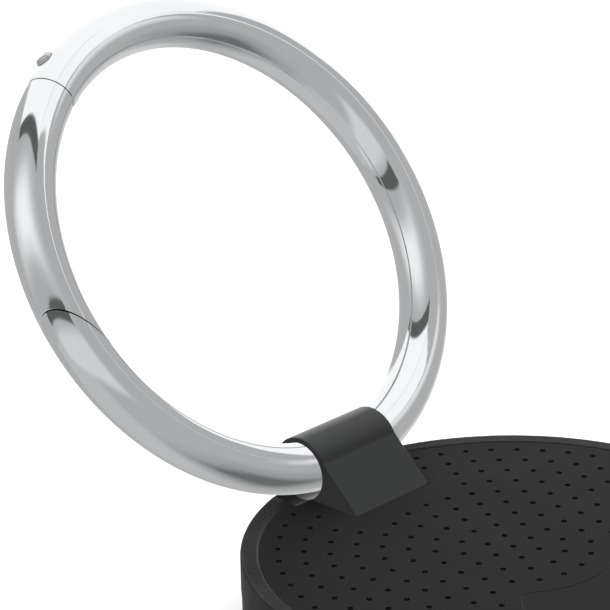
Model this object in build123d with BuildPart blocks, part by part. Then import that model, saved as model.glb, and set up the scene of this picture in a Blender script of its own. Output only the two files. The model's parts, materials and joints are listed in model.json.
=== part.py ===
from build123d import *

import os
from math import cos, degrees, radians, sin, sqrt, tan

# A round tracker tag with a perforated front panel, a push key, a replaceable coin cell
# behind a turning cover, and a spring-gate key ring carried in a lug on the front's edge.
# Origin: centre of the back face. +Z comes out of the front, +Y points at the lug.
# Millimetres and degrees.

# ---------------------------------------------------------------- driving dimensions
# Case
case_radius = 20.0
case_height = 10.0
rim_width = 1.25
rim_round = 0.22
rim_side = 2.58
rim_edge = 0.06
shell_inset = 0.05
shell_wall = 1.55
lip_wall = 0.75
base_thickness = 1.8
foot_round = 0.8
seat_width = 1.4
tongue_depth = 1.1
snap_height = 0.30
snap_proud = 0.12
shell_edge = 0.08
# Front panel
panel_recess = 0.08
panel_thickness = 1.2
panel_ledge = 1.05
panel_edge = 0.06
hole_pitch = 1.915
hole_diameter = 0.52
dimple_depth = 0.35
hole_rings = 9
sound_rings = 3
clear_half_width = 5.2
clear_start = 10.0
# Front key
key_inner_radius = 7.6
key_outer_radius = 16.3
key_spread = 90.0
key_corner = 0.8
key_gap = 0.05
key_flange = 0.5
key_flange_thickness = 0.45
key_travel = 0.25
key_stem_radius = 1.0
key_edge = 0.05
# Ring and its lug
ring_radius = 18.4
tube_radius = 1.94
ring_tilt = 54.35
ring_lean = 1.6
lug_width = 8.0
bore_inset = 2.21
bore_lift = 1.92
lug_slope = 44.0
lug_face_wall = 0.26
lug_top_wall = 0.38
lug_edge = 0.12
lug_ridge = 0.9
lug_gap = 0.2
lug_boss_depth = 1.35
lug_boss_margin = 1.2
lug_screw_shift = 0.6
scoop_width = 1.6
# Ring gate
hinge_angle = 34.7
tip_angle = 99.1
tip_rake = 59.7
tip_skew = 27.9
seam_gap = 0.09
pivot_back = 0.6
pivot_drop = 1.0
pin_radius = 0.4
knuckle_radius = 0.8
tongue_width = 1.5
gate_swing = 25.0
tail_length = 3.1
tail_low = 1.4
tail_high = 0.55
tail_root = 1.0
plug_angle = 27.4
plug_head_radius = 0.7
plug_head_height = 0.46
plug_seat = 0.15
plug_shank_radius = 0.58
plug_depth = 0.8
spring_wire = 0.16
spring_radius = 0.44
spring_turns = 4
gate_overrun = 14.0
relief_margin = 2.0
# Coin cell and back cover
cell_radius = 10.0
cell_height = 3.2
cell_skin = 0.25
cell_floor = 1.45
cell_lip = 0.8
cell_seal = 0.25
cell_round = 0.2
cathode_depth = 1.7
cover_radius = 13.5
cover_flange = 1.0
cover_plate = 1.2
neck_radius = 12.1
neck_wall = 1.0
neck_top = 2.5
tab_height = 0.6
tab_reach = 1.2
tab_spread = 20.0
tab_slack = 4.0
cover_edge = 0.1
cover_turn = 30.0
cover_seal_radius = 0.26
grip_radius = 8.5
grip_width = 1.6
grip_depth = 0.6
# Chassis, board and what stands on the board
chassis_thickness = 0.6
chassis_wall = 0.7
board_gap = 0.35
board_thickness = 0.6
screw_circle = 14.8
screw_radius = 0.5
screw_head_radius = 1.0
screw_head_height = 0.45
screw_slot = 0.22
screw_slot_length = 1.3
post_radius = 1.2
post_wall = 0.3
contact_sheet = 0.15
contact_width = 3.0
contact_well = 2.8
contact_foot = 2.3
contact_bend = 0.3
contact_lift = 0.4
contact_reach = 0.8
finger_root = -5.5
finger_bend = -2.5
finger_touch = 1.0
finger_end = 3.0
finger_tip = 4.2
shield_x = -8.5
shield_y = 2.0
shield_length = 7.0
shield_width = 6.0
shield_height = 1.1
shield_wall = 0.15
chip_side = 4.0
chip_height = 0.7
antenna_size = (1.6, 5.2, 1.0)
crystal_size = (2.0, 1.6, 0.5)
capacitor_size = (0.5, 1.0, 0.5)
small_corner = 0.4
switch_side = 4.2
switch_height = 0.8
switch_lid = 0.2
switch_base = 0.15
switch_radius = 12.0
plunger_radius = 0.8
dome_radius = 1.5
dome_rise = 0.34
dome_sheet = 0.06
# Buzzer
buzzer_outer_radius = 6.9
buzzer_plate_radius = 6.3
buzzer_ceramic_radius = 4.25
buzzer_sheet = 0.15
buzzer_ledge = 0.7
buzzer_air = 0.4
buzzer_back = 0.5
leaf_sheet = 0.12
leaf_width = 0.8
leaf_shift = 0.3
leaf_bend = 0.08
leaf_foot = 1.4
leaf_heel = 0.5
leaf_knee = 0.7
leaf_crest = 0.15
leaf_tip = 0.45
mesh_thickness = 0.1
# Named clearances
snug = 0.05
slip = 0.02
running = 0.03
bore_clearance = 0.12
turning = 0.1

# ---------------------------------------------------------------- levels and shared places
body_radius = case_radius - shell_inset
split_z = case_height - rim_round - rim_side
trim_inner_radius = case_radius - rim_width
tongue_z = split_z - tongue_depth
lip_inner_radius = body_radius - lip_wall
tongue_radius = lip_inner_radius - 2 * snug
shell_inner_radius = body_radius - shell_wall
panel_radius = trim_inner_radius - snug
panel_top = case_height - panel_recess
panel_bottom = panel_top - panel_thickness
ledge_radius = trim_inner_radius - panel_ledge

cell_top = cell_floor + cell_height
chassis_z = cell_top + turning
chassis_top = chassis_z + chassis_thickness
chassis_radius = shell_inner_radius - 4 * snug
seat_radius = shell_inner_radius - seat_width
board_z = chassis_top + board_gap
board_top = board_z + board_thickness
board_radius = chassis_radius - chassis_wall - 6 * snug
screw_angles = (30.0, 150.0, 210.0, 330.0)

sag = ring_radius - sqrt(ring_radius**2 - (lug_width / 2) ** 2)
bore_radius = tube_radius + sag / 2 + bore_clearance
bore_y = case_radius - bore_inset
bore_z = case_height + bore_lift
lug_face_distance = bore_radius + lug_face_wall
lug_shell_radius = bore_radius + lug_top_wall
lug_back_y = sqrt(case_radius**2 - (lug_width / 2) ** 2) - snug
lug_screw_x = 0.3 * lug_width

up = Vector(0, cos(radians(ring_tilt)), sin(radians(ring_tilt)))
square = Vector(0, -sin(radians(ring_tilt)), cos(radians(ring_tilt)))
ring_normal = square * cos(radians(ring_lean)) + Vector(sin(radians(ring_lean)), 0, 0)
bore_centre = Vector(0, bore_y, bore_z)
ring_centre = bore_centre + up * (ring_radius - sag / 2)
ring_plane = Plane(origin=ring_centre, x_dir=up, z_dir=ring_normal)
ring_axis = Axis(ring_centre, ring_normal)


def ring_sector(inner: float, outer: float, middle: float, spread: float) -> Sketch:
    """Return a flat ring sector between two radii, centred on an angle."""
    start = middle - spread / 2
    with BuildSketch() as sector:
        with BuildLine():
            near = CenterArc((0, 0), inner, start, spread)
            far = CenterArc((0, 0), outer, start, spread)
            Line(near @ 0, far @ 0)
            Line(near @ 1, far @ 1)
        make_face()
    return sector.sketch


def key_outline(grow: float) -> Sketch:
    """Return the key's rounded outline, widened all round by grow."""
    with BuildSketch() as outline:
        add(ring_sector(key_inner_radius, key_outer_radius, -90, key_spread))
        fillet(outline.vertices(), key_corner)
        if grow:
            offset(amount=grow, mode=Mode.REPLACE)
    return outline.sketch


def station(angle: float, radius: float = ring_radius) -> Plane:
    """Return a plane in the ring's plane at an angle round it, with X pointing outward."""
    outward = ring_plane.x_dir * cos(radians(angle)) + ring_plane.y_dir * sin(radians(angle))
    return Plane(ring_centre + outward * radius, x_dir=outward, z_dir=ring_normal)


def cross_section(angle: float) -> Plane:
    """Return the plane that cuts the ring's tube square at an angle."""
    place = station(angle)
    return Plane(place.origin, x_dir=place.x_dir, z_dir=place.y_dir)


def polar_points(radius: float, angles: tuple) -> list:
    """Return points on a circle about the tag's own axis."""
    return [(radius * cos(radians(a)), radius * sin(radians(a))) for a in angles]


def hole_points(first: int, last: int) -> list:
    """Return the panel's hole centres in a span of rings, clear of the lug and the key."""
    points = []
    for ring in range(first, last + 1):
        for step in range(max(1, 6 * ring)):
            angle = radians(step * 360 / max(1, 6 * ring))
            x = ring * hole_pitch * cos(angle)
            y = ring * hole_pitch * sin(angle)
            by_lug = abs(x) < clear_half_width and y > clear_start
            reach = ring * hole_pitch
            side = abs(x) * cos(radians(key_spread / 2)) + y * sin(radians(key_spread / 2))
            by_key = (
                key_inner_radius - hole_diameter < reach < key_outer_radius + hole_diameter
                and y < 0
                and side < hole_diameter
            )
            if not by_lug and not by_key:
                points.append((x, y))
    return points


# ---------------------------------------------------------------- case
# Lower shell: a cup whose base holds the turning cover.
with BuildPart() as case_body:
    with BuildSketch(Plane.XZ):
        with BuildLine():
            Polyline(
                (0, 0),
                (body_radius, 0),
                (body_radius, split_z),
                (lip_inner_radius, split_z),
                (lip_inner_radius, tongue_z + snap_height * 2.5),
                (lip_inner_radius + snap_proud, tongue_z + snap_height * 1.7),
                (lip_inner_radius, tongue_z + snap_height * 0.7),
                (lip_inner_radius, tongue_z - snug),
                (shell_inner_radius, tongue_z - snug),
                (shell_inner_radius, chassis_z),
                (seat_radius, chassis_z),
                (seat_radius, base_thickness),
                (0, base_thickness),
                close=True,
            )
        make_face()
    revolve(axis=Axis.Z)
    fillet(case_body.faces().sort_by(Axis.Z)[0].edges(), foot_round)
    chamfer(case_body.faces().sort_by(Axis.Z)[-1].outer_wire().edges(), shell_edge)
    with BuildSketch(Plane.XY):
        Circle(cover_radius + turning)
    extrude(amount=cover_flange, mode=Mode.SUBTRACT)
    with BuildSketch(Plane.XY):
        Circle(neck_radius + 2 * turning)
        for turn in range(3):
            add(
                ring_sector(
                    neck_radius,
                    neck_radius + tab_reach + turning,
                    90 - cover_turn + 120 * turn,
                    tab_spread + tab_slack,
                )
            )
    extrude(amount=base_thickness, mode=Mode.SUBTRACT)

# Trim ring: rounded shoulder, ledge for the panel, snap tongue into the shell.
with BuildPart() as front_bezel:
    with BuildSketch(Plane.XZ):
        with BuildLine():
            Polyline(
                (trim_inner_radius, panel_bottom),
                (trim_inner_radius, case_height - rim_edge),
                (trim_inner_radius + rim_edge, case_height),
                (case_radius - rim_round, case_height),
            )
            RadiusArc(
                (case_radius - rim_round, case_height),
                (case_radius, case_height - rim_round),
                rim_round,
            )
            Polyline(
                (case_radius, case_height - rim_round),
                (case_radius, split_z),
                (tongue_radius, split_z),
                (tongue_radius, tongue_z + snap_height * 2.4),
                (tongue_radius + snap_proud, tongue_z + snap_height * 1.7),
                (tongue_radius, tongue_z + snap_height),
                (tongue_radius, tongue_z),
                (ledge_radius, tongue_z),
                (ledge_radius, panel_bottom),
                (trim_inner_radius, panel_bottom),
            )
        make_face()
    revolve(axis=Axis.Z)
    with BuildSketch(Plane.XY.offset(panel_bottom)):
        with Locations((0, bore_y)):
            Rectangle(lug_width + 2 * snug, 3 * bore_radius)
    extrude(amount=case_height, mode=Mode.SUBTRACT)
    with BuildSketch(Plane.YZ):
        with Locations((bore_y, bore_z)):
            Circle(bore_radius)
    extrude(amount=lug_width / 2 + scoop_width, both=True, mode=Mode.SUBTRACT)

# ---------------------------------------------------------------- lug
slope = radians(lug_slope)
face_foot_y = bore_y - lug_face_distance * sin(slope)
face_foot_z = bore_z + lug_face_distance * cos(slope)
face_run = sqrt(lug_shell_radius**2 - lug_face_distance**2)
ridge_point = (face_foot_y + face_run * cos(slope), face_foot_z + face_run * sin(slope))
lug_front_y = face_foot_y - (face_foot_z - panel_top) / tan(slope)
lug_screw_y = (lug_front_y + bore_y - bore_radius) / 2 + lug_screw_shift

with BuildPart() as ring_lug:
    with BuildSketch(Plane.YZ) as lug_profile:
        with BuildLine():
            Polyline(
                (lug_front_y, panel_bottom),
                (lug_front_y, panel_top),
                ridge_point,
                (bore_y, bore_z),
                (lug_back_y, case_height),
                (lug_back_y, panel_bottom),
                close=True,
            )
        make_face()
        with Locations((bore_y, bore_z)):
            Circle(lug_shell_radius)
        fillet(lug_profile.vertices().sort_by_distance(ridge_point)[0], lug_ridge)
    extrude(amount=lug_width / 2, both=True)
    ends = ring_lug.faces().filter_by(Axis.X)
    edges = [e for end in ends for e in end.outer_wire().edges() if e.center().Z > panel_top + lug_edge]
    fillet(edges, lug_edge)
    with BuildSketch(Plane.YZ):
        with Locations((bore_y, bore_z)):
            Circle(bore_radius)
    extrude(amount=lug_width, both=True, mode=Mode.SUBTRACT)
    with BuildSketch(Plane.XY.offset(panel_bottom)):
        with Locations((-lug_screw_x, lug_screw_y), (lug_screw_x, lug_screw_y)):
            Circle(screw_radius + slip)
    extrude(amount=2 * panel_thickness, mode=Mode.SUBTRACT)

# ---------------------------------------------------------------- front panel
lug_boss_z = panel_bottom - lug_boss_depth
lug_boss_half = lug_width / 2 + lug_boss_margin
lug_boss_far_y = sqrt((ledge_radius - 2 * snug) ** 2 - lug_boss_half**2)
lug_boss_near_y = lug_front_y - lug_boss_margin

with BuildPart() as front_panel:
    with BuildSketch(Plane.XY.offset(panel_bottom)):
        Circle(panel_radius)
    extrude(amount=panel_thickness)
    chamfer(front_panel.faces().sort_by(Axis.Z)[-1].edges(), panel_edge)
    with BuildSketch(Plane.XY.offset(lug_boss_z)):
        with Locations((0, (lug_boss_near_y + lug_boss_far_y) / 2)):
            Rectangle(2 * lug_boss_half, lug_boss_far_y - lug_boss_near_y)
    extrude(amount=panel_bottom - lug_boss_z)
    with BuildSketch(Plane.XY.offset(board_top)):
        with Locations(polar_points(screw_circle, screw_angles)):
            Circle(post_radius)
    extrude(amount=panel_bottom - board_top)
    with BuildSketch(Plane.XY.offset(board_top)):
        with Locations(polar_points(screw_circle, screw_angles)):
            Circle(screw_radius + slip)
    extrude(amount=panel_bottom - board_top - turning, mode=Mode.SUBTRACT)
    with BuildSketch(Plane.XY.offset(lug_boss_z)):
        with Locations((-lug_screw_x, lug_screw_y), (lug_screw_x, lug_screw_y)):
            Circle(screw_radius + slip)
    extrude(amount=panel_bottom - lug_boss_z, mode=Mode.SUBTRACT)
    with BuildSketch(Plane.XY.offset(panel_bottom)):
        with Locations((0, lug_front_y - lug_gap)):
            Rectangle(lug_width + 2 * snug, case_radius, align=(Align.CENTER, Align.MIN))
    extrude(amount=panel_thickness, mode=Mode.SUBTRACT)
    with BuildSketch(Plane.YZ):
        with Locations((bore_y, bore_z)):
            Circle(bore_radius)
    extrude(amount=lug_width / 2 + scoop_width, both=True, mode=Mode.SUBTRACT)
    with BuildSketch(Plane.XY.offset(panel_bottom)):
        add(key_outline(key_gap))
    extrude(amount=panel_thickness, mode=Mode.SUBTRACT)
    with BuildSketch(Plane.XY.offset(panel_bottom)):
        with Locations(hole_points(0, sound_rings)):
            Circle(hole_diameter / 2)
    extrude(amount=panel_thickness, mode=Mode.SUBTRACT)
    with BuildSketch(Plane.XY.offset(panel_top)):
        with Locations(hole_points(sound_rings + 1, hole_rings)):
            Circle(hole_diameter / 2)
    extrude(amount=-dimple_depth, mode=Mode.SUBTRACT)

with BuildPart() as lug_screws:
    with BuildSketch(Plane.XY.offset(lug_boss_z)):
        with Locations((-lug_screw_x, lug_screw_y), (lug_screw_x, lug_screw_y)):
            Circle(screw_head_radius)
    extrude(amount=-screw_head_height)
    with BuildSketch(Plane.XY.offset(lug_boss_z)):
        with Locations((-lug_screw_x, lug_screw_y), (lug_screw_x, lug_screw_y)):
            Circle(screw_radius)
    extrude(amount=panel_bottom - lug_boss_z + panel_thickness)
    with BuildSketch(Plane.XY.offset(lug_boss_z - screw_head_height)):
        with Locations((-lug_screw_x, lug_screw_y), (lug_screw_x, lug_screw_y)):
            Rectangle(screw_slot_length, screw_slot)
            Rectangle(screw_slot, screw_slot_length)
    extrude(amount=screw_head_height / 2, mode=Mode.SUBTRACT)

# ---------------------------------------------------------------- front key and its switch
flange_top = panel_bottom - snug
flange_bottom = flange_top - key_flange_thickness
switch_top = board_top + switch_height
switch_floor = board_top + switch_base
dome_top = switch_floor + dome_rise
plunger_top = switch_top + key_travel + turning

with BuildPart() as front_key:
    with BuildSketch(Plane.XY.offset(flange_bottom)):
        add(key_outline(key_flange))
    extrude(amount=key_flange_thickness)
    with BuildSketch(Plane.XY.offset(flange_top)):
        add(key_outline(0))
    extrude(amount=panel_top - flange_top)
    fillet(front_key.faces().sort_by(Axis.Z)[-1].edges(), key_edge)
    with BuildSketch(Plane.XY.offset(plunger_top)):
        with Locations((0, -switch_radius)):
            Circle(key_stem_radius)
    extrude(amount=flange_bottom - plunger_top)

with BuildPart() as switch_housing:
    with BuildSketch(Plane.XY.offset(board_top)):
        with Locations((0, -switch_radius)):
            RectangleRounded(switch_side, switch_side, small_corner)
    extrude(amount=switch_height)
    with BuildSketch(Plane.XY.offset(switch_floor)):
        with Locations((0, -switch_radius)):
            Circle(dome_radius + turning)
    extrude(amount=switch_top - switch_lid - switch_floor, mode=Mode.SUBTRACT)
    with BuildSketch(Plane.XY.offset(switch_floor)):
        with Locations((0, -switch_radius)):
            Circle(plunger_radius + snug)
    extrude(amount=switch_height, mode=Mode.SUBTRACT)

dome_outer = (dome_radius**2 + dome_rise**2) / (2 * dome_rise)
with BuildPart() as switch_dome:
    with Locations((0, -switch_radius, dome_top - dome_outer)):
        Sphere(dome_outer)
        Sphere(dome_outer - dome_sheet, mode=Mode.SUBTRACT)
    with BuildSketch(Plane.XY.offset(switch_floor)):
        with Locations((0, -switch_radius)):
            Circle(2 * dome_radius)
    extrude(amount=dome_rise, mode=Mode.INTERSECT)

with BuildPart() as switch_plunger:
    with BuildSketch(Plane.XY.offset(dome_top + slip)):
        with Locations((0, -switch_radius)):
            Circle(dome_radius * 0.8)
    extrude(amount=switch_top - switch_lid - dome_top - 2 * slip)
    with BuildSketch(Plane.XY.offset(dome_top + slip)):
        with Locations((0, -switch_radius)):
            Circle(plunger_radius)
    extrude(amount=plunger_top - dome_top - slip)

# ---------------------------------------------------------------- buzzer under the sound holes
mesh_z = panel_bottom - mesh_thickness
plate_z = mesh_z - buzzer_air
ceramic_z = plate_z - buzzer_sheet
buzzer_z = plate_z - buzzer_back

with BuildPart() as buzzer_frame:
    with BuildSketch(Plane.XY.offset(buzzer_z)):
        Circle(buzzer_outer_radius)
        Circle(buzzer_plate_radius - buzzer_ledge, mode=Mode.SUBTRACT)
    extrude(amount=plate_z - buzzer_z)
    with BuildSketch(Plane.XY.offset(plate_z)):
        Circle(buzzer_outer_radius)
        Circle(buzzer_plate_radius + snug, mode=Mode.SUBTRACT)
    extrude(amount=panel_bottom - plate_z)

with BuildPart() as buzzer_plate:
    with BuildSketch(Plane.XY.offset(plate_z)):
        Circle(buzzer_plate_radius)
    extrude(amount=buzzer_sheet)

with BuildPart() as buzzer_ceramic:
    with BuildSketch(Plane.XY.offset(ceramic_z)):
        Circle(buzzer_ceramic_radius)
    extrude(amount=buzzer_sheet)

with BuildPart() as acoustic_mesh:
    with BuildSketch(Plane.XY.offset(mesh_z)):
        Circle(buzzer_plate_radius)
    extrude(amount=mesh_thickness)

rim_leaf_x = (buzzer_ceramic_radius + buzzer_plate_radius) / 2 - leaf_shift
with BuildPart() as buzzer_springs:
    for x, top in ((0, ceramic_z), (rim_leaf_x, plate_z)):
        rise = top - board_top
        with BuildSketch(Plane.XZ):
            with BuildLine():
                FilletPolyline(
                    (x - leaf_foot, board_top + leaf_sheet / 2),
                    (x + leaf_heel, board_top + leaf_sheet / 2),
                    (x - leaf_knee, board_top + rise / 2),
                    (x - leaf_crest, top - leaf_sheet / 2 - slip),
                    (x + leaf_crest, top - leaf_sheet / 2 - slip),
                    (x + leaf_tip, top - rise / 4),
                    radius=leaf_bend,
                )
            trace(line_width=leaf_sheet)
        extrude(amount=leaf_width / 2, both=True)

# ---------------------------------------------------------------- circuit board
with BuildPart() as circuit_board:
    with BuildSketch(Plane.XY.offset(board_z)):
        Circle(board_radius)
        with Locations(polar_points(screw_circle, screw_angles)):
            Circle(screw_radius + turning, mode=Mode.SUBTRACT)
    extrude(amount=board_thickness)

with BuildPart() as radio_shield:
    with BuildSketch(Plane.XY.offset(board_top)):
        with Locations((shield_x, shield_y)):
            RectangleRounded(shield_width, shield_length, small_corner)
    extrude(amount=shield_height)
    with BuildSketch(Plane.XY.offset(board_top)):
        with Locations((shield_x, shield_y)):
            Rectangle(shield_width - 2 * shield_wall, shield_length - 2 * shield_wall)
    extrude(amount=shield_height - shield_wall, mode=Mode.SUBTRACT)

with BuildPart() as radio_chip:
    with BuildSketch(Plane.XY.offset(board_top)):
        with Locations((shield_x, shield_y)):
            Rectangle(chip_side, chip_side)
    extrude(amount=chip_height)

with BuildPart() as chip_antenna:
    with BuildSketch(Plane.XY.offset(board_top)):
        with Locations((screw_circle - 1.0, 0)):
            Rectangle(antenna_size[0], antenna_size[1])
    extrude(amount=antenna_size[2])

with BuildPart() as crystal:
    with BuildSketch(Plane.XY.offset(board_top)):
        with Locations((shield_x, shield_y - shield_length / 2 - crystal_size[1])):
            RectangleRounded(crystal_size[0], crystal_size[1], small_corner / 2)
    extrude(amount=crystal_size[2])

with BuildPart() as chip_capacitors:
    with BuildSketch(Plane.XY.offset(board_top)):
        with Locations((9.5, -4.0)):
            with GridLocations(1.0, 1.5, 3, 3):
                Rectangle(capacitor_size[0], capacitor_size[1])
        with Locations((-4.0, 9.5)):
            with GridLocations(1.5, 1.2, 2, 2):
                Rectangle(capacitor_size[1], capacitor_size[0])
    extrude(amount=capacitor_size[2])

# ---------------------------------------------------------------- chassis
cell_wall_inner = cell_radius + 6 * snug
cell_wall_outer = neck_radius - neck_wall - 2 * turning

with BuildPart() as chassis:
    with BuildSketch(Plane.XY.offset(chassis_z)):
        Circle(chassis_radius)
        Circle(cell_radius * 0.7, mode=Mode.SUBTRACT)
    extrude(amount=chassis_thickness)
    with BuildSketch(Plane.XY.offset(chassis_top)):
        Circle(chassis_radius)
        Circle(chassis_radius - chassis_wall, mode=Mode.SUBTRACT)
    extrude(amount=tongue_z - snug - chassis_top)
    with BuildSketch(Plane.XY.offset(chassis_top)):
        with Locations(polar_points(screw_circle, screw_angles)):
            Circle(post_radius + post_wall)
    extrude(amount=board_gap)
    with BuildSketch(Plane.XY.offset(cover_plate + 4 * turning)):
        Circle(cell_wall_outer)
        Circle(cell_wall_inner, mode=Mode.SUBTRACT)
    extrude(amount=chassis_z - cover_plate - 4 * turning)
    with BuildSketch(Plane.XY.offset(chassis_z)):
        with Locations(polar_points(screw_circle, screw_angles)):
            Circle(screw_radius + turning)
    extrude(amount=board_z - chassis_z, mode=Mode.SUBTRACT)
    with BuildSketch(Plane.XY):
        with Locations((cell_radius - turning, 0)):
            Rectangle(contact_well, contact_width + 5 * turning, align=(Align.MIN, Align.CENTER))
    extrude(amount=chassis_top, mode=Mode.SUBTRACT)

with BuildPart() as board_screws:
    with BuildSketch(Plane.XY.offset(chassis_z - screw_head_height)):
        with Locations(polar_points(screw_circle, screw_angles)):
            Circle(screw_head_radius)
    extrude(amount=screw_head_height)
    with BuildSketch(Plane.XY.offset(chassis_z)):
        with Locations(polar_points(screw_circle, screw_angles)):
            Circle(screw_radius)
    extrude(amount=panel_bottom - 4 * turning - chassis_z)
    with BuildSketch(Plane.XY.offset(chassis_z - screw_head_height)):
        with Locations(polar_points(screw_circle, screw_angles)):
            Rectangle(screw_slot_length, screw_slot)
            Rectangle(screw_slot, screw_slot_length)
    extrude(amount=screw_head_height / 2, mode=Mode.SUBTRACT)

# ---------------------------------------------------------------- battery contacts
contact_z = board_z - contact_sheet / 2

with BuildPart() as positive_contact:
    with BuildSketch(Plane.XZ):
        with BuildLine():
            FilletPolyline(
                (cell_radius + contact_foot, contact_z),
                (cell_radius + slip + contact_sheet / 2, contact_z),
                (cell_radius + slip + contact_sheet / 2, cell_floor + contact_reach),
                radius=contact_bend / 3,
            )
        trace(line_width=contact_sheet)
    extrude(amount=contact_width / 2, both=True)

with BuildPart() as negative_contact:
    with BuildSketch(Plane.XZ):
        with BuildLine():
            FilletPolyline(
                (finger_root, contact_z),
                (finger_bend, contact_z),
                (finger_touch, cell_top + slip + contact_sheet / 2),
                (finger_end, cell_top + slip + contact_sheet / 2),
                (finger_tip, cell_top + contact_lift),
                radius=contact_bend,
            )
        trace(line_width=contact_sheet)
    extrude(amount=contact_width / 2, both=True)

# ---------------------------------------------------------------- coin cell
lip_z = cell_top - cell_round
lip_inner = cell_radius - cell_lip
cap_radius = lip_inner - cell_seal
gasket_top = lip_z - cell_skin

with BuildPart() as cell_can:
    with BuildSketch(Plane.XZ):
        with BuildLine():
            Polyline(
                (0, cell_floor),
                (cell_radius, cell_floor),
                (cell_radius, lip_z),
                (lip_inner, lip_z),
                (lip_inner, gasket_top),
                (cell_radius - cell_skin, gasket_top),
                (cell_radius - cell_skin, cell_floor + cell_skin),
                (0, cell_floor + cell_skin),
                close=True,
            )
        make_face()
    revolve(axis=Axis.Z)
    fillet(cell_can.faces().sort_by(Axis.Z)[0].edges(), cell_round)

with BuildPart() as cell_gasket:
    with BuildSketch(Plane.XZ):
        with BuildLine():
            Polyline(
                (cap_radius, cell_floor + cell_skin),
                (cell_radius - cell_skin, cell_floor + cell_skin),
                (cell_radius - cell_skin, gasket_top),
                (lip_inner, gasket_top),
                (lip_inner, lip_z),
                (cap_radius, lip_z),
                close=True,
            )
        make_face()
    revolve(axis=Axis.Z)

with BuildPart() as cell_cap:
    with BuildSketch(Plane.XZ):
        with BuildLine():
            Polyline(
                (0, cell_top - cell_skin),
                (cap_radius - cell_skin, cell_top - cell_skin),
                (cap_radius - cell_skin, cell_floor + 3 * cell_skin),
                (cap_radius, cell_floor + 3 * cell_skin),
                (cap_radius, cell_top),
                (0, cell_top),
                close=True,
            )
        make_face()
    revolve(axis=Axis.Z)
    fillet(cell_cap.faces().sort_by(Axis.Z)[-1].edges(), cell_round)

cathode_top = cell_floor + cell_skin + cathode_depth
with BuildPart() as cell_cathode:
    with BuildSketch(Plane.XY.offset(cell_floor + cell_skin)):
        Circle(cap_radius - 2 * cell_skin)
    extrude(amount=cathode_top - cell_floor - cell_skin)

with BuildPart() as cell_anode:
    with BuildSketch(Plane.XY.offset(cathode_top + turning)):
        Circle(cap_radius - 2 * cell_skin)
    extrude(amount=cell_top - cell_skin - cathode_top - turning)

# ---------------------------------------------------------------- back cover
seal_z = cover_flange / 2
seal_middle = cover_radius + turning - cover_seal_radius - slip

with BuildPart() as back_cover:
    with BuildSketch(Plane.XZ):
        with BuildLine():
            Polyline(
                (0, 0),
                (cover_radius, 0),
                (cover_radius, seal_z - cover_seal_radius - slip),
                (seal_middle - cover_seal_radius - slip, seal_z - cover_seal_radius - slip),
                (seal_middle - cover_seal_radius - slip, seal_z + cover_seal_radius + slip),
                (cover_radius, seal_z + cover_seal_radius + slip),
                (cover_radius, cover_flange - slip),
                (neck_radius, cover_flange - slip),
                (neck_radius, neck_top),
                (neck_radius - neck_wall, neck_top),
                (neck_radius - neck_wall, cover_plate),
                (0, cover_plate),
                close=True,
            )
        make_face()
    revolve(axis=Axis.Z)
    chamfer(back_cover.faces().sort_by(Axis.Z)[0].edges(), cover_edge)
    with BuildSketch(Plane.XY.offset(neck_top - tab_height)):
        for turn in range(3):
            add(
                ring_sector(
                    neck_radius - neck_wall / 2,
                    neck_radius + tab_reach,
                    90 + 120 * turn,
                    tab_spread,
                )
            )
    extrude(amount=tab_height)
    with BuildSketch(Plane.XY):
        for turn in range(2):
            add(
                ring_sector(
                    grip_radius - grip_width / 2,
                    grip_radius + grip_width / 2,
                    180 * turn,
                    2 * tab_spread,
                )
            )
    extrude(amount=grip_depth, mode=Mode.SUBTRACT)

with BuildPart() as cover_seal:
    with Locations((0, 0, seal_z)):
        Torus(seal_middle, cover_seal_radius)

# ---------------------------------------------------------------- ring
hinge = station(hinge_angle)
pivot = hinge.from_local_coords((-pivot_drop, -pivot_back, 0))
pivot_plane = Plane(pivot, x_dir=hinge.x_dir, z_dir=ring_normal)
half_gap_angle = degrees(seam_gap / 2 / ring_radius)
tip = station(tip_angle)
tip_normal = tip.y_dir + tip.x_dir * tan(radians(tip_rake)) + ring_normal * tan(radians(tip_skew))
tip_plane = Plane(tip.origin, z_dir=tip_normal)
tail_slope = radians(hinge_angle - plug_angle)
tail_face = (ring_radius - tail_high) / cos(tail_slope) + (spring_radius + spring_wire) * tan(tail_slope)
spring_start = station(plug_angle, tail_face + slip)
spring_plane = Plane(spring_start.origin, x_dir=spring_start.y_dir, z_dir=spring_start.x_dir)
plug_base = station(plug_angle, ring_radius + tube_radius - plug_seat)
plug_plane = Plane(plug_base.origin, x_dir=plug_base.y_dir, z_dir=plug_base.x_dir)
spring_length = ring_radius + tube_radius - plug_seat - plug_depth - tail_face - 2 * slip

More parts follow.
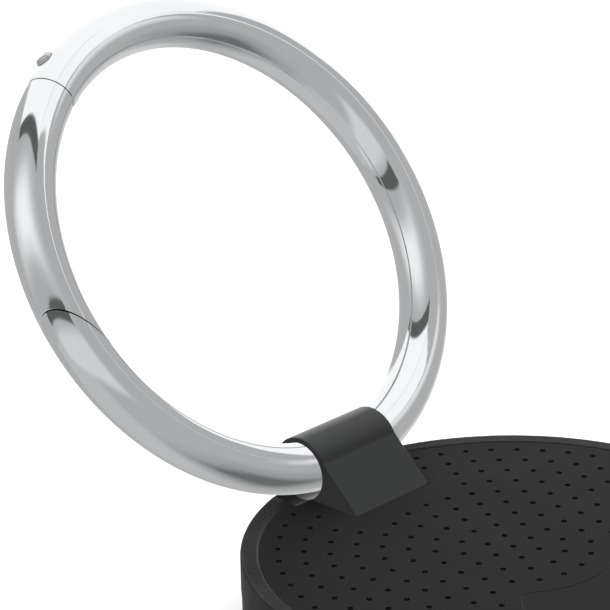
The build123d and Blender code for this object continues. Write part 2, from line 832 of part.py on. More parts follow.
# Fixed part of the ring: a round tube that stops short where the gate fills it.
with BuildPart() as ring_body:
    with BuildSketch(cross_section(tip_angle - gate_overrun)):
        Circle(tube_radius)
    revolve(axis=ring_axis, revolution_arc=360 - tip_angle + gate_overrun + hinge_angle - half_gap_angle)
    with BuildSketch(tip_plane.offset(seam_gap / 2)):
        Circle(5 * tube_radius)
    extrude(amount=-5 * tube_radius, mode=Mode.SUBTRACT)
    # Slot for the gate's tongue and tail, open towards the inside of the ring by the pivot.
    with BuildSketch(hinge):
        with Locations((-pivot_drop, -pivot_back)):
            Circle(knuckle_radius + turning)
        with Locations((-pivot_drop, 0)):
            Rectangle(knuckle_radius + turning, pivot_back, align=(Align.MIN, Align.MAX))
            Rectangle(2 * tube_radius, pivot_back, align=(Align.MAX, Align.MAX))
        with Locations((-tail_low - snug, 0)):
            Rectangle(tail_low + tail_high + snug, tail_length + 2 * turning, align=(Align.MIN, Align.MAX))
    extrude(amount=tongue_width / 2 + snug, both=True, mode=Mode.SUBTRACT)
    with BuildSketch(pivot_plane.offset(-tube_radius)):
        Circle(pin_radius + slip)
    extrude(amount=1.65 * tube_radius, mode=Mode.SUBTRACT)
    with BuildSketch(spring_plane):
        Circle(plug_shank_radius + slip)
    extrude(amount=2 * tube_radius, mode=Mode.SUBTRACT)
    # Flat seat for the plug's head.
    with BuildSketch(plug_plane):
        Circle(plug_head_radius + snug)
    extrude(amount=tube_radius, mode=Mode.SUBTRACT)

# Gate: the rest of the tube, with a tongue on the pivot pin and a tail under the spring.
with BuildPart() as ring_gate:
    with BuildSketch(cross_section(hinge_angle + half_gap_angle)):
        Circle(tube_radius)
    revolve(axis=ring_axis, revolution_arc=tip_angle - hinge_angle + gate_overrun)
    with BuildSketch(tip_plane.offset(-seam_gap / 2)):
        Circle(5 * tube_radius)
    extrude(amount=5 * tube_radius, mode=Mode.SUBTRACT)
    # Relief on the inside of the ring, so that the end clears the seam as the gate swings in.
    with BuildSketch(hinge):
        Polygon(
            (-pivot_drop, 0),
            (-pivot_drop - 1.5 * tube_radius, 0),
            (-pivot_drop - 1.5 * tube_radius, 1.5 * tube_radius * tan(radians(gate_swing + relief_margin))),
            (-pivot_drop, seam_gap),
            align=None,
        )
    extrude(amount=2 * tube_radius, both=True, mode=Mode.SUBTRACT)
    with BuildSketch(hinge):
        with Locations((-pivot_drop, -pivot_back)):
            Circle(knuckle_radius)
        with Locations((-tail_low, tail_root)):
            Rectangle(tail_low - tail_high, tail_root + tail_length, align=(Align.MIN, Align.MAX))
    extrude(amount=tongue_width / 2, both=True)
    with BuildSketch(pivot_plane.offset(-tube_radius)):
        Circle(pin_radius + running)
    extrude(amount=2 * tube_radius, mode=Mode.SUBTRACT)

pin_low = sqrt(tube_radius**2 - (pivot_drop + pin_radius) ** 2) - snug
pin_high = 0.65 * tube_radius - snug
with BuildPart() as gate_pivot_pin:
    with BuildSketch(pivot_plane.offset(-pin_low)):
        Circle(pin_radius)
    extrude(amount=pin_low + pin_high)

with BuildPart() as gate_spring:
    with BuildLine() as coil:
        Helix(
            pitch=(spring_length - spring_wire) / spring_turns,
            height=spring_length - spring_wire,
            radius=spring_radius,
            center=spring_plane.offset(spring_wire / 2).origin,
            direction=spring_plane.z_dir,
        )
    with BuildSketch(Plane(origin=coil.line @ 0, z_dir=coil.line % 0)):
        Circle(spring_wire / 2)
    sweep(path=coil.line)

with BuildPart() as spring_plug:
    with BuildSketch(plug_plane.offset(-plug_depth)):
        Circle(plug_shank_radius)
    extrude(amount=plug_depth + slip)
    with BuildSketch(plug_plane.offset(slip)):
        Circle(plug_head_radius)
    extrude(amount=plug_head_height)
    plug_crown = spring_plug.faces().sort_by(Axis(plug_plane.origin, plug_plane.z_dir))[-1]
    fillet(plug_crown.edges(), 0.75 * plug_head_height)

# ---------------------------------------------------------------- export
pieces = {
    "case_body": case_body,
    "front_bezel": front_bezel,
    "front_panel": front_panel,
    "ring_lug": ring_lug,
    "lug_screws": lug_screws,
    "front_key": front_key,
    "switch_housing": switch_housing,
    "switch_dome": switch_dome,
    "switch_plunger": switch_plunger,
    "buzzer_frame": buzzer_frame,
    "buzzer_plate": buzzer_plate,
    "buzzer_ceramic": buzzer_ceramic,
    "acoustic_mesh": acoustic_mesh,
    "buzzer_springs": buzzer_springs,
    "circuit_board": circuit_board,
    "radio_shield": radio_shield,
    "radio_chip": radio_chip,
    "chip_antenna": chip_antenna,
    "crystal": crystal,
    "chip_capacitors": chip_capacitors,
    "chassis": chassis,
    "board_screws": board_screws,
    "positive_contact": positive_contact,
    "negative_contact": negative_contact,
    "cell_can": cell_can,
    "cell_gasket": cell_gasket,
    "cell_cap": cell_cap,
    "cell_cathode": cell_cathode,
    "cell_anode": cell_anode,
    "back_cover": back_cover,
    "cover_seal": cover_seal,
    "ring_body": ring_body,
    "ring_gate": ring_gate,
    "gate_pivot_pin": gate_pivot_pin,
    "gate_spring": gate_spring,
    "spring_plug": spring_plug,
}

os.makedirs("parts", exist_ok=True)
for name, piece in pieces.items():
    piece.part.label = name
    export_step(piece.part, f"parts/{name}.step")
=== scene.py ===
"""Looks of a Bluetooth tracker tag: a dark moulded puck with a lug and a polished spring-gate ring.

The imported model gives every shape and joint. This script gives each piece the finish of the real
material, lays a pale floor, sets soft studio light and places the camera.
"""

import json
import logging
import math
from dataclasses import dataclass, field
from enum import Enum

import bpy
from mathutils import Matrix, Vector


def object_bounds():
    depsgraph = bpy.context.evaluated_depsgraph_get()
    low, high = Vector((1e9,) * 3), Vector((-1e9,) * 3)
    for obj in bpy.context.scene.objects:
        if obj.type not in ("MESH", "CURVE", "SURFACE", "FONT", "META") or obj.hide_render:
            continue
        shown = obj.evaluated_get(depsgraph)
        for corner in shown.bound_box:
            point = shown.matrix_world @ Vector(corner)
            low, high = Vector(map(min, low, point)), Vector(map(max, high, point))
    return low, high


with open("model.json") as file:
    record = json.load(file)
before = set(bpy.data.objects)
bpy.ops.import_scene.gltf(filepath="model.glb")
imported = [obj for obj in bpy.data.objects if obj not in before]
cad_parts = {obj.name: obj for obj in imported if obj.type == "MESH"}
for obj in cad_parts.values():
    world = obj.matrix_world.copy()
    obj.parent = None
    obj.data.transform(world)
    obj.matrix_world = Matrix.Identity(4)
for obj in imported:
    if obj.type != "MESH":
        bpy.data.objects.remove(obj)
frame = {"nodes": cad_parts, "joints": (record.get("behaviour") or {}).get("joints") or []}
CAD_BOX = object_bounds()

log = logging.getLogger("tracker_tag")

MM = 0.001

# How much of a finish's accent colour shows at most: in specks, in slow drifts and in stains.
SPECK_SHARE = 0.22
DRIFT_SHARE = 0.25
STAIN_SHARE = 0.5
# Wave textures count their bands in twentieths of a unit.
WAVE_BANDS = 20


def linear(hex_colour: str) -> tuple[float, float, float, float]:
    """Turns an sRGB hex colour into a linear one.

    Args:
        hex_colour: six hex digits with a leading hash.

    Returns:
        Red, green, blue and alpha, in linear light.
    """
    channels = [int(hex_colour[i:i + 2], 16) / 255 for i in (1, 3, 5)]
    toe, slope = 0.04045, 12.92
    light = [c / slope if c <= toe else ((c + 0.055) / 1.055) ** 2.4 for c in channels]
    return (*light, 1.0)


def per_metre(size_mm: float) -> float:
    """Gives the texture scale whose cells are size_mm across, for coordinates in metres."""
    return 1 / (size_mm * MM)


@dataclass
class Tree:
    """A node tree that is being filled.

    Attributes:
        nodes: the tree's nodes.
        links: the tree's links.
    """

    nodes: bpy.types.Nodes
    links: bpy.types.NodeLinks

    def add(self, kind: str, settings: dict | None = None, **inputs: object) -> bpy.types.Node:
        """Adds a node with its settings, values and links.

        Args:
            kind: the node's type name, such as "ShaderNodeTexNoise".
            settings: attributes of the node itself.
            **inputs: socket names with spaces as underscores, or i0, i1 ... for a socket's place.
                A value is a number, a colour, a vector, or another node's output socket.

        Returns:
            The new node.
        """
        node = self.nodes.new(kind)
        for name, value in (settings or {}).items():
            setattr(node, name, value)
        for name, value in inputs.items():
            place = name[1:]
            key = int(place) if name[0] == "i" and place.isdigit() else name.replace("_", " ")
            socket = node.inputs[key]
            if isinstance(value, bpy.types.NodeSocket):
                self.links.new(value, socket)
            else:
                socket.default_value = value
        return node

    def blend(
        self, share: bpy.types.NodeSocket, low: str, high: str
    ) -> bpy.types.NodeSocket:
        """Blends two sRGB hex colours.

        Args:
            share: how much of the second colour shows, from 0 to 1.
            low: the first colour.
            high: the second colour.

        Returns:
            The blended colour.
        """
        mix = self.add(
            "ShaderNodeMix", {"data_type": "RGBA"}, i0=share, i6=linear(low), i7=linear(high)
        )
        return mix.outputs[2]

    def emboss(
        self, shader: bpy.types.Node, height: bpy.types.NodeSocket, depth_mm: float, strength: float
    ) -> None:
        """Gives a shader a fine relief.

        Args:
            shader: the Principled shader.
            height: the relief's height, from 0 to 1.
            depth_mm: its depth.
            strength: how much of it shows.
        """
        relief = self.add("ShaderNodeBump", Height=height, Distance=depth_mm * MM, Strength=strength)
        self.links.new(relief.outputs["Normal"], shader.inputs["Normal"])


@dataclass(frozen=True)
class Finish:
    """One finish: what the material is and how its surface was made.

    Attributes:
        slot: the record's material slot that it belongs to.
        name: the material's common name and how it was made.
        base: sRGB colour of most of the surface.
        accent: sRGB colour of the spots, specks and stains, and of the highlight painted along moulded
            edges.
        roughness: typical roughness of the surface.
        rough_swing: how far the roughness wanders either way.
        patch_mm: size of the slow changes in colour and gloss.
    """

    slot: str
    name: str
    base: str
    accent: str
    roughness: float
    rough_swing: float = 0.04
    patch_mm: float = 6.0

    def start(self) -> tuple[bpy.types.Material, Tree, bpy.types.Node, bpy.types.NodeSocket]:
        """Starts the material.

        Returns:
            The material, its empty tree, its Principled shader and the coordinates in metres.
        """
        material = bpy.data.materials.new(self.name)
        material.use_nodes = True
        material.diffuse_color = linear(self.base)
        tree = Tree(material.node_tree.nodes, material.node_tree.links)
        tree.nodes.clear()
        shader = tree.add("ShaderNodeBsdfPrincipled", Roughness=self.roughness)
        tree.add("ShaderNodeOutputMaterial", Surface=shader.outputs["BSDF"])
        place = tree.add("ShaderNodeTexCoord").outputs["Object"]
        return material, tree, shader, place

    def wander(self, tree: Tree, shader: bpy.types.Node, place: bpy.types.NodeSocket) -> bpy.types.Node:
        """Lets the gloss change slowly over the surface, as handling and moulding leave it.

        Returns:
            The slow noise, for a colour that changes with it.
        """
        slow = tree.add(
            "ShaderNodeTexNoise", Vector=place, Scale=per_metre(self.patch_mm), Detail=4.0, Roughness=0.55
        )
        gloss = tree.add(
            "ShaderNodeMapRange",
            Value=slow.outputs["Fac"],
            From_Min=0.3,
            From_Max=0.7,
            To_Min=self.roughness - self.rough_swing,
            To_Max=self.roughness + self.rough_swing,
        )
        tree.links.new(gloss.outputs["Result"], shader.inputs["Roughness"])
        return slow

    def build(self) -> bpy.types.Material:
        """Builds the material. Each kind of finish has its own."""
        raise NotImplementedError


@dataclass(frozen=True)
class MouldedPlastic(Finish):
    """Plastic from a spark-eroded or polished mould.

    Attributes:
        grain_mm: size of the mould's texture.
        grain_depth_mm: depth of that texture.
        edge_mm: how far the painted edge highlight reaches from an edge.
        edge_shine: how much of the accent colour is painted on edges as a highlight.
        ior: refractive index.
        gloss: how strongly the skin mirrors, where 0.5 is a bare polished skin.
    """

    grain_mm: float = 0.12
    grain_depth_mm: float = 0.004
    edge_mm: float = 0.12
    edge_shine: float = 0.35
    ior: float = 1.5
    gloss: float = 0.5

    def build(self) -> bpy.types.Material:
        """Builds the moulded surface: fine grain, slow changes in gloss and a highlight painted along the
        edges.
        """
        material, tree, shader, place = self.start()
        shader.inputs["IOR"].default_value = self.ior
        shader.inputs["Specular IOR Level"].default_value = self.gloss
        slow = self.wander(tree, shader, place)
        grain = tree.add(
            "ShaderNodeTexNoise", Vector=place, Scale=per_metre(self.grain_mm), Detail=3.0, Roughness=0.6
        )
        speck = tree.add(
            "ShaderNodeMapRange",
            Value=grain.outputs["Fac"],
            From_Min=0.52,
            From_Max=0.75,
            To_Min=0.0,
            To_Max=SPECK_SHARE,
        )
        drift = tree.add(
            "ShaderNodeMath", {"operation": "MULTIPLY"}, i0=slow.outputs["Fac"], i1=DRIFT_SHARE
        )
        # Edges get the accent colour through this bevel mask: a painted highlight along every edge, not
        # wear.
        rounded = tree.add("ShaderNodeBevel", {"samples": 4}, Radius=self.edge_mm * MM)
        flat = tree.add("ShaderNodeNewGeometry")
        facing = tree.add(
            "ShaderNodeVectorMath",
            {"operation": "DOT_PRODUCT"},
            i0=rounded.outputs["Normal"],
            i1=flat.outputs["Normal"],
        )
        painted_edge_highlight = tree.add(
            "ShaderNodeMapRange",
            Value=facing.outputs["Value"],
            From_Min=0.99,
            From_Max=0.9,
            To_Min=0.0,
            To_Max=self.edge_shine,
        )
        marks = tree.add(
            "ShaderNodeMath", {"operation": "ADD"}, i0=speck.outputs["Result"], i1=drift.outputs["Value"]
        )
        shade = tree.add(
            "ShaderNodeMath",
            {"operation": "ADD", "use_clamp": True},
            i0=marks.outputs["Value"],
            i1=painted_edge_highlight.outputs["Result"],
        )
        colour = tree.blend(shade.outputs["Value"], self.base, self.accent)
        tree.links.new(colour, shader.inputs["Base Color"])
        tree.emboss(shader, grain.outputs["Fac"], self.grain_depth_mm, 0.8)
        return material


class Lay(Enum):
    """The direction of the marks that making leaves in a metal."""

    WIPED = (1.0, 1.0, 1.0)
    ROLLED = (0.06, 1.0, 1.0)
    TURNED = (1.0, 1.0, 0.05)


@dataclass(frozen=True)
class WorkedMetal(Finish):
    """Metal that was plated, rolled, drawn or polished.

    Attributes:
        mark_mm: spacing of the fine marks.
        mark_depth_mm: their depth.
        lay: their direction.
    """

    mark_mm: float = 0.2
    mark_depth_mm: float = 0.0008
    lay: Lay = Lay.WIPED

    def build(self) -> bpy.types.Material:
        """Builds the metal: marks from its making, and gloss that changes slowly."""
        material, tree, shader, place = self.start()
        shader.inputs["Metallic"].default_value = 1.0
        slow = self.wander(tree, shader, place)
        along = tree.add("ShaderNodeMapping", Vector=place, Scale=self.lay.value)
        marks = tree.add(
            "ShaderNodeTexNoise",
            Vector=along.outputs["Vector"],
            Scale=per_metre(self.mark_mm),
            Detail=4.0,
            Roughness=0.6,
        )
        stain = tree.add(
            "ShaderNodeMapRange",
            Value=slow.outputs["Fac"],
            From_Min=0.45,
            From_Max=0.8,
            To_Min=0.0,
            To_Max=STAIN_SHARE,
        )
        colour = tree.blend(stain.outputs["Result"], self.base, self.accent)
        tree.links.new(colour, shader.inputs["Base Color"])
        tree.emboss(shader, marks.outputs["Fac"], self.mark_depth_mm, 0.5)
        return material


@dataclass(frozen=True)
class PressedPowder(Finish):
    """A fired ceramic, a pressed powder, a resin with filler or a rubber with talc on it.

    Attributes:
        speck_mm: size of the specks.
        speck_share: how much of the surface they cover.
        pit_depth_mm: depth of the pits.
    """

    speck_mm: float = 0.08
    speck_share: float = 0.35
    pit_depth_mm: float = 0.006

    def build(self) -> bpy.types.Material:
        """Builds the speckled surface with small pits."""
        material, tree, shader, place = self.start()
        self.wander(tree, shader, place)
        cells = tree.add("ShaderNodeTexVoronoi", Vector=place, Scale=per_metre(self.speck_mm))
        speck = tree.add(
            "ShaderNodeMapRange",
            Value=cells.outputs["Distance"],
            From_Min=self.speck_share,
            From_Max=self.speck_share + 0.2,
            To_Min=1.0,
            To_Max=0.0,
        )
        colour = tree.blend(speck.outputs["Result"], self.base, self.accent)
        tree.links.new(colour, shader.inputs["Base Color"])
        tree.emboss(shader, cells.outputs["Distance"], self.pit_depth_mm, 0.7)
        return material


@dataclass(frozen=True)
class Weave(Finish):
    """Threads that cross: a woven mesh, or the glass cloth that shows through a board's lacquer.

    Attributes:
        thread_mm: spacing of the threads.
        thread_depth_mm: height of a thread over the gap.
    """

    thread_mm: float = 0.12
    thread_depth_mm: float = 0.02

    def build(self) -> bpy.types.Material:
        """Builds the two sets of threads."""
        material, tree, shader, place = self.start()
        self.wander(tree, shader, place)
        sets = [
            tree.add(
                "ShaderNodeTexWave",
                {"bands_direction": way},
                Vector=place,
                Scale=per_metre(self.thread_mm) / WAVE_BANDS,
                Distortion=0.4,
            )
            for way in ("X", "Y")
        ]
        cross = tree.add(
            "ShaderNodeMath",
            {"operation": "MAXIMUM"},
            i0=sets[0].outputs["Fac"],
            i1=sets[1].outputs["Fac"],
        )
        colour = tree.blend(cross.outputs["Value"], self.base, self.accent)
        tree.links.new(colour, shader.inputs["Base Color"])
        tree.emboss(shader, cross.outputs["Value"], self.thread_depth_mm, 0.8)
        return material


# Polycarbonate and ABS from a spark-eroded mould: a dark satin grey with little gloss, and a pale highlight
# painted along its edges.
CASE = MouldedPlastic("case_plastic", "PC-ABS, spark-eroded", "#0e0e0f", "#5c5c5e", 0.5, gloss=0.05)
# The same plastic from a finer mould, with smaller grain.
PANEL = MouldedPlastic(
    "panel_plastic",
    "PC-ABS, fine spark-eroded",
    "#0f0f10",
    "#2c2c2e",
    0.55,
    grain_mm=0.1,
    grain_depth_mm=0.003,
    gloss=0.06,
)
# Nylon with a matt mould: a soft dark face, with a pale highlight line painted along its rounded edges.
LUG = MouldedPlastic(
    "lug_plastic",
    "Nylon, matt moulded",
    "#121314",
    "#38393b",
    0.32,
    grain_mm=0.09,
    grain_depth_mm=0.002,
    gloss=0.34,
)
# Glass-filled nylon inside the case: duller and coarser, as nobody sees it.
INNER = MouldedPlastic(
    "inner_plastic", "Nylon, glass-filled", "#1b1b1c", "#555557", 0.62, grain_mm=0.2, grain_depth_mm=0.01
)
# Liquid-crystal polymer of a tact switch, with flow marks.
SWITCH = MouldedPlastic(
    "switch_plastic", "LCP, moulded", "#2a2a2c", "#6a6a6e", 0.5, grain_mm=0.15, grain_depth_mm=0.004
)
# Polypropylene gasket of a coin cell: translucent grey, waxy.
GASKET = MouldedPlastic(
    "gasket_plastic",
    "Polypropylene, moulded",
    "#8c8f92",
    "#b8bbbe",
    0.42,
    grain_mm=0.2,
    grain_depth_mm=0.003,
)
# Epoxy of a chip: black with pale glass filler.
RESIN = PressedPowder("chip_resin", "Epoxy, transfer-moulded", "#17181a", "#2e3033", 0.48, speck_mm=0.05)
# Fibreglass board under dark green lacquer: the glass cloth shows as a faint weave.
BOARD = Weave(
    "board_laminate",
    "Fibreglass, lacquered",
    "#123524",
    "#1d4a33",
    0.34,
    thread_mm=0.5,
    thread_depth_mm=0.006,
)
# Multilayer capacitor: fired brown ceramic.
CAPACITOR = PressedPowder(
    "capacitor_ceramic", "Barium titanate, fired", "#8a6f55", "#a88d70", 0.5, speck_mm=0.06
)
# Chip antenna: white fired ceramic.
ANTENNA = PressedPowder("antenna_ceramic", "Alumina, fired", "#d9d6cc", "#efece2", 0.45, speck_mm=0.07)
# Piezo disc: cream ceramic under a thin fired silver.
PIEZO = PressedPowder("piezo_ceramic", "PZT, fired", "#cfc8b4", "#e2dccb", 0.5, speck_mm=0.07)
# Woven polyester behind the sound holes: black, each thread just visible.
MESH = Weave(
    "mesh_fabric", "Polyester mesh, woven", "#0d0d0e", "#2b2b2d", 0.75, thread_mm=0.12, thread_depth_mm=0.02
)
# Sounder plate: rolled brass with faint lines along the strip.
BRASS = WorkedMetal("buzzer_brass", "Brass, rolled", "#c9a24d", "#b08a3c", 0.28, 0.06, lay=Lay.ROLLED)
# Battery contacts: phosphor bronze under bright nickel.
CONTACT = WorkedMetal(
    "contact_metal", "Phosphor bronze, nickel-plated", "#c9c6bd", "#b2ada0", 0.24, 0.05, lay=Lay.ROLLED
)
# Radio can: tinned steel, dull with rolling lines.
SHIELD = WorkedMetal("shield_metal", "Steel, tin-plated", "#bdbfc0", "#a3a6a8", 0.36, 0.06, lay=Lay.ROLLED)
# Springs and the pivot pin: drawn stainless wire.
SPRING = WorkedMetal("spring_steel", "Stainless steel, drawn", "#b7b8b8", "#9c9e9f", 0.3, 0.05, mark_mm=0.08)
# Screws: blackened steel with a little bare metal.
SCREW = WorkedMetal("screw_steel", "Steel, black oxide", "#3f4043", "#77797c", 0.38, 0.08, mark_mm=0.15)
# Coin cell: nickel-plated steel, stamped and bright with wiping marks.
CELL = WorkedMetal("cell_steel", "Steel, nickel-plated", "#c6c5c0", "#b0afa8", 0.22, 0.06, mark_mm=0.3)
# Cell's cathode: pressed manganese dioxide, near black and chalky.
CATHODE = PressedPowder(
    "cathode_mix", "Manganese dioxide, pressed", "#1f1d1c", "#3a3634", 0.85, speck_mm=0.15
)
# Cell's anode: soft lithium foil with a grey bloom.
ANODE = WorkedMetal("anode_metal", "Lithium, rolled", "#b4b5b3", "#8f918f", 0.45, 0.08, mark_mm=0.4)
# Cover's seal: black silicone with a trace of talc.
SEAL = PressedPowder(
    "seal_rubber", "Silicone rubber, moulded", "#141415", "#2a2a2b", 0.68, speck_mm=0.1, pit_depth_mm=0.003
)
# The ring: zinc under polished chromium, a clear cold mirror with the faintest wiping marks.
CHROME = WorkedMetal(
    "ring_chrome",
    "Zinc, chrome-plated",
    "#dcdedf",
    "#d2d4d6",
    0.045,
    0.015,
    mark_mm=0.6,
    mark_depth_mm=0.0002,
)
# The plug that closes the spring's bore: turned stainless, a little duller than the ring.
PLUG = WorkedMetal(
    "plug_steel", "Stainless steel, turned", "#c4c5c6", "#aeb0b2", 0.2, 0.03, mark_mm=0.1, lay=Lay.TURNED
)


@dataclass
class SubAssembly:
    """A group of pieces that are made and fitted together.

    Attributes:
        body: the joint tree's body that the group moves with.
        finishes: the finish of each piece.
        mirrored: whether mirror rays meet the group. The puck's groups are left out of them, and
            the surround's puck_shade patch stands for the puck instead.
    """

    body: str
    finishes: dict[str, Finish]
    mirrored: bool = True

    def build(self) -> list[bpy.types.Object]:
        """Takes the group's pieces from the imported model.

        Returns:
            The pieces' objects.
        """
        return [frame["nodes"][name] for name in self.finishes]

    def dress(self, pieces: list[bpy.types.Object], shelf: dict[str, bpy.types.Material]) -> None:
        """Gives each piece its finish.

        Args:
            pieces: the group's objects.
            shelf: the materials made so far, by slot, which grows as new ones are needed.
        """
        for piece, finish in zip(pieces, self.finishes.values()):
            if finish.slot not in shelf:
                shelf[finish.slot] = finish.build()
            if not piece.material_slots:
                piece.data.materials.append(shelf[finish.slot])
            for material_slot in piece.material_slots:
                material_slot.material = shelf[finish.slot]
            piece.visible_glossy = self.mirrored
            log.info("%s on %s: %s", piece.name, self.body, finish.name)


@dataclass
class Housing(SubAssembly):
    """The puck's outside: lower shell, trim ring, perforated panel and lug."""

    body: str = "tag"
    finishes: dict[str, Finish] = field(
        default_factory=lambda: {
            "case_body": CASE,
            "front_bezel": CASE,
            "front_panel": PANEL,
            "ring_lug": LUG,
            "lug_screws": SCREW,
            "acoustic_mesh": MESH,
        }
    )
    mirrored: bool = False


@dataclass
class PressKey(SubAssembly):
    """The part of the front that is pressed, with the plunger it pushes."""

    body: str = "key"
    finishes: dict[str, Finish] = field(
        default_factory=lambda: {
            "front_key": PANEL,
            "switch_plunger": SWITCH,
        }
    )
    mirrored: bool = False


@dataclass
class Electronics(SubAssembly):
    """The board with its parts, the switch, the sounder and the frame that holds them."""

    body: str = "tag"
    finishes: dict[str, Finish] = field(
        default_factory=lambda: {
            "switch_housing": SWITCH,
            "switch_dome": SPRING,
            "buzzer_frame": INNER,
            "buzzer_plate": BRASS,
            "buzzer_ceramic": PIEZO,
            "buzzer_springs": CONTACT,
            "circuit_board": BOARD,
            "radio_shield": SHIELD,
            "radio_chip": RESIN,
            "chip_antenna": ANTENNA,
            "crystal": SHIELD,
            "chip_capacitors": CAPACITOR,
            "chassis": INNER,
            "board_screws": SCREW,
        }
    )
    mirrored: bool = False


@dataclass
class CoinCell(SubAssembly):
    """The coin cell and its two contacts."""

    body: str = "tag"
    finishes: dict[str, Finish] = field(
        default_factory=lambda: {
            "positive_contact": CONTACT,
            "negative_contact": CONTACT,
            "cell_can": CELL,
            "cell_gasket": GASKET,
            "cell_cap": CELL,
            "cell_cathode": CATHODE,
            "cell_anode": ANODE,
        }
    )
    mirrored: bool = False


@dataclass
class BatteryDoor(SubAssembly):
    """The cover on the back that turns to open, and its seal."""

    body: str = "cover"
    finishes: dict[str, Finish] = field(default_factory=lambda: {"back_cover": CASE, "cover_seal": SEAL})
    mirrored: bool = False


@dataclass
class KeyRing(SubAssembly):
    """The ring, with the pin, spring and plug that its gate works on."""

    body: str = "ring"
    finishes: dict[str, Finish] = field(
        default_factory=lambda: {
            "ring_body": CHROME,
            "gate_pivot_pin": SPRING,
            "gate_spring": SPRING,
            "spring_plug": PLUG,
        }
    )


@dataclass
class RingGate(SubAssembly):
    """The arc of the ring that opens inwards."""

    body: str = "gate"
    finishes: dict[str, Finish] = field(default_factory=lambda: {"ring_gate": CHROME})


@dataclass(frozen=True)
class Patch:
    """One patch of the studio's surround: a soft box, a flag or a change of tone.

    The patch is a slanted box in two angles: how far a direction is from the surround's axis, and
    how far round that axis it lies.

    Attributes:
        name: what the patch is.
        away: least and greatest angle from the axis, in degrees.
        turn: least and greatest angle round the axis, in degrees.
        slant: how much the turn shifts for each degree away, from the near edge.
        soft: how many degrees its edges take to fade: away from the axis, then round it.
        glow: its brightness, where 1 is white.
    """

    name: str
    away: tuple[float, float]
    turn: tuple[float, float]
    slant: float
    soft: tuple[float, float]
    glow: float


@dataclass
class Surround:
    """The soft boxes and flags that stand far round the tag and that its metal mirrors.

    Attributes:
        tone: brightness of the plain grey between the patches.
        patches: the patches, each laid over the ones before it.
    """

    tone: float = 0.56
    patches: tuple[Patch, ...] = (
        Patch("low_wall", (112, 200), (-6, 140), 0.0, (20, 20), 0.66),
        Patch("key_box", (-20, 36), (-104, -52), 0.0, (8, 2.5), 1.25),
        Patch("key_box_side", (8, 44), (-112, -60), -1.35, (8, 6), 1.27),
        Patch("key_box_slant", (36, 104), (-160, -50), -0.64, (4, 2.5), 1.27),
        Patch("fill_box", (58, 150), (-50, -14), -0.4, (40, 26), 0.88),
        Patch("fill_box_core", (74, 126), (-51, -26), -0.35, (34, 18), 1.18),
        Patch("upper_flag", (37, 104), (-50, -41.5), -0.64, (4, 2), 0.14),
        Patch("lower_flag", (60, 150), (-10.5, -2.5), -0.12, (4, 2), 0.14),
        Patch("low_strip", (54, 152), (-1, 20), -0.05, (20, 8), 0.84),
        Patch("dusk", (45, 108), (52, 118), 0.0, (26, 26), 0.44),
        Patch("puck_shade", (66, 98), (66, 104), 0.0, (18, 18), 0.2),
        Patch("corner", (-20, 14), (58, 150), 0.0, (16, 20), 1.0),
        Patch("far_strip", (66, 100), (135, 200), 0.0, (18, 16), 0.78),
    )

    def build(self, axis: Vector, towards: Vector) -> None:
        """Builds the surround.

        Args:
            axis: direction from which the angles away are counted.
            towards: direction from which the turn round the axis is counted.
        """
        world = bpy.data.worlds.new("surround")
        world.use_nodes = True
        world.node_tree.nodes.clear()
        tree = Tree(world.node_tree.nodes, world.node_tree.links)
        first = (towards - axis * towards.dot(axis)).normalized()
        second = axis.cross(first)
        look = tree.add("ShaderNodeTexCoord").outputs["Generated"]
        parts = [
            tree.add(
                "ShaderNodeVectorMath", {"operation": "DOT_PRODUCT"}, i0=look, i1=tuple(way)
            ).outputs["Value"]
            for way in (axis, first, second)
        ]
        arc = tree.add("ShaderNodeMath", {"operation": "ARCCOSINE"}, i0=parts[0])
        away = tree.add("ShaderNodeMath", {"operation": "DEGREES"}, i0=arc.outputs["Value"]).outputs["Value"]
        spin = tree.add("ShaderNodeMath", {"operation": "ARCTAN2"}, i0=parts[2], i1=parts[1])
        turned = tree.add("ShaderNodeMath", {"operation": "DEGREES"}, i0=spin.outputs["Value"])
        turn = turned.outputs["Value"]
        glow = tree.add("ShaderNodeValue").outputs["Value"]
        glow.default_value = self.tone
        for patch in self.patches:
            glow = self.lay(tree, patch, away, turn, glow)
        light = tree.add("ShaderNodeBackground", Color=(1.0, 1.0, 1.0, 1.0), Strength=glow)
        tree.add("ShaderNodeOutputWorld", Surface=light.outputs["Background"])
        bpy.context.scene.world = world

    def lay(
        self,
        tree: Tree,
        patch: Patch,
        away: bpy.types.NodeSocket,
        turn: bpy.types.NodeSocket,
        under: bpy.types.NodeSocket,
    ) -> bpy.types.NodeSocket:
        """Lays one patch over the brightness so far.

        Args:
            tree: the world's tree.
            patch: the patch to lay.
            away: angle from the axis.
            turn: angle round the axis.
            under: the brightness so far.

        Returns:
            The brightness with the patch over it.
        """
        shifted = tree.add(
            "ShaderNodeMath",
            {"operation": "MULTIPLY_ADD"},
            i0=away,
            i1=-patch.slant,
            i2=patch.slant * patch.away[0],
        )
        straight = tree.add("ShaderNodeMath", {"operation": "ADD"}, i0=turn, i1=shifted.outputs["Value"])
        cover = None
        for value, (low, high), soft in (
            (away, patch.away, patch.soft[0]),
            (straight.outputs["Value"], patch.turn, patch.soft[1]),
        ):
            for edge, side in ((low, 1), (high, -1)):
                step = tree.add(
                    "ShaderNodeMapRange",
                    {"interpolation_type": "SMOOTHSTEP"},
                    Value=value,
                    From_Min=edge - side * soft / 2,
                    From_Max=edge + side * soft / 2,
                )
                cover = (
                    step.outputs["Result"]
                    if cover is None
                    else tree.add(
                        "ShaderNodeMath", {"operation": "MULTIPLY"}, i0=cover, i1=step.outputs["Result"]
                    ).outputs["Value"]
                )
        mixed = tree.add("ShaderNodeMix", {"data_type": "FLOAT"}, i0=cover, i2=under, i3=patch.glow)
        return mixed.outputs[0]


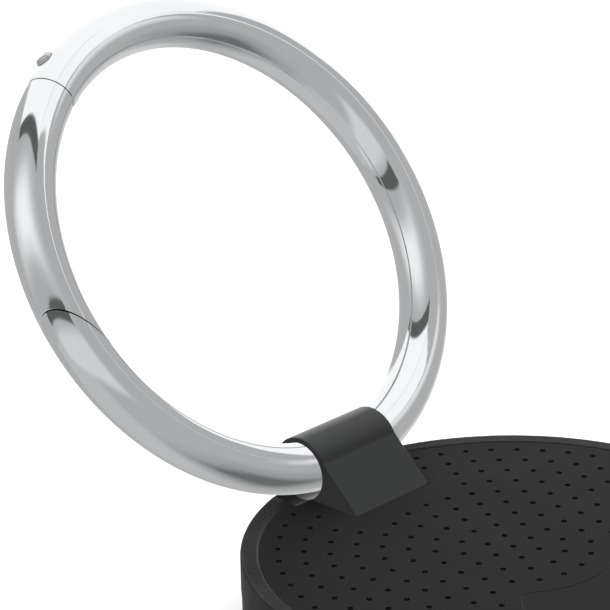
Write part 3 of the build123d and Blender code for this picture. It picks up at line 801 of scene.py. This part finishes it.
@dataclass
class Studio:
    """The floor, the light and the camera.

    Attributes:
        floor_colour: sRGB colour of the floor.
        floor_half: half the floor's width in metres.
        floor_roughness: roughness of the floor.
        overhead_power: power of the soft light above, in watts.
        overhead_size: width of that light in metres.
        overhead_height: its height in metres.
        eye: place of the camera in metres.
        heading: the camera's look, in degrees from +Y towards +X.
        look_down: how far it looks down, in degrees.
        camera_roll: its turn about its own look, in degrees.
        lens_mm: focal length.
        sensor_mm: width of the sensor.
        near_clip: the camera's near limit in metres.
        surround: the soft boxes and flags.
    """

    floor_colour: str = "#f4f4f4"
    floor_half: float = 3.0
    floor_roughness: float = 0.9
    overhead_power: float = 2.6
    overhead_size: float = 0.6
    overhead_height: float = 0.5
    eye: tuple[float, float, float] = (-0.166114, -0.143731, 0.116498)
    heading: float = 45.26
    look_down: float = 21.70
    camera_roll: float = -1.31
    lens_mm: float = 196.1
    sensor_mm: float = 36.0
    near_clip: float = 0.005
    surround: Surround = field(default_factory=Surround)

    def lay_floor(self) -> None:
        """Lays the plain pale floor under the puck."""
        low = CAD_BOX[0][2]
        half = self.floor_half
        corners = [(-half, -half, low), (half, -half, low), (half, half, low), (-half, half, low)]
        mesh = bpy.data.meshes.new("floor")
        mesh.from_pydata(corners, [], [(0, 1, 2, 3)])
        floor = bpy.data.objects.new("floor", mesh)
        bpy.context.scene.collection.objects.link(floor)
        material = bpy.data.materials.new("Paper, matt")
        material.use_nodes = True
        shader = material.node_tree.nodes["Principled BSDF"]
        shader.inputs["Base Color"].default_value = linear(self.floor_colour)
        shader.inputs["Roughness"].default_value = self.floor_roughness
        mesh.materials.append(material)
        floor.visible_glossy = False

    def hang_lamp(self) -> None:
        """Hangs the wide soft light above the tag."""
        lamp = bpy.data.lights.new("overhead", "AREA")
        lamp.shape = "SQUARE"
        lamp.size = self.overhead_size
        lamp.energy = self.overhead_power
        overhead = bpy.data.objects.new("overhead", lamp)
        overhead.location = (0.0, 0.0, self.overhead_height)
        overhead.visible_glossy = False
        bpy.context.scene.collection.objects.link(overhead)

    def set_camera(self) -> Vector:
        """Places the camera a hand's reach from the tag.

        Returns:
            The direction it looks in.
        """
        data = bpy.data.cameras.new("camera")
        data.sensor_width = self.sensor_mm
        data.lens = self.lens_mm
        data.clip_start = self.near_clip
        camera = bpy.data.objects.new("camera", data)
        camera.matrix_world = (
            Matrix.Translation(Vector(self.eye))
            @ Matrix.Rotation(math.radians(-self.heading), 4, "Z")
            @ Matrix.Rotation(math.radians(90 - self.look_down), 4, "X")
            @ Matrix.Rotation(math.radians(self.camera_roll), 4, "Z")
        )
        bpy.context.scene.collection.objects.link(camera)
        bpy.context.scene.camera = camera
        return camera.matrix_world.to_3x3() @ Vector((0.0, 0.0, -1.0))

    def build(self) -> None:
        """Sets up the whole studio, with the soft boxes where the ring mirrors them."""
        self.lay_floor()
        self.hang_lamp()
        look = self.set_camera()
        gate = next(joint for joint in frame["joints"] if joint["name"] == "gate_open")
        face = Vector(gate["axis"]).normalized()
        mirrored = (look - 2 * look.dot(face) * face).normalized()
        self.surround.build(mirrored, -look)
        bpy.context.scene.view_settings.view_transform = "Standard"


def main() -> None:
    """Dresses every sub-assembly in order, then sets up the studio."""
    logging.basicConfig(level=logging.INFO, format="%(name)s %(message)s")
    shelf: dict[str, bpy.types.Material] = {}
    for group in (Housing(), PressKey(), Electronics(), CoinCell(), BatteryDoor(), KeyRing(), RingGate()):
        group.dress(group.build(), shelf)
    Studio().build()


if __name__ == "__main__":
    main()
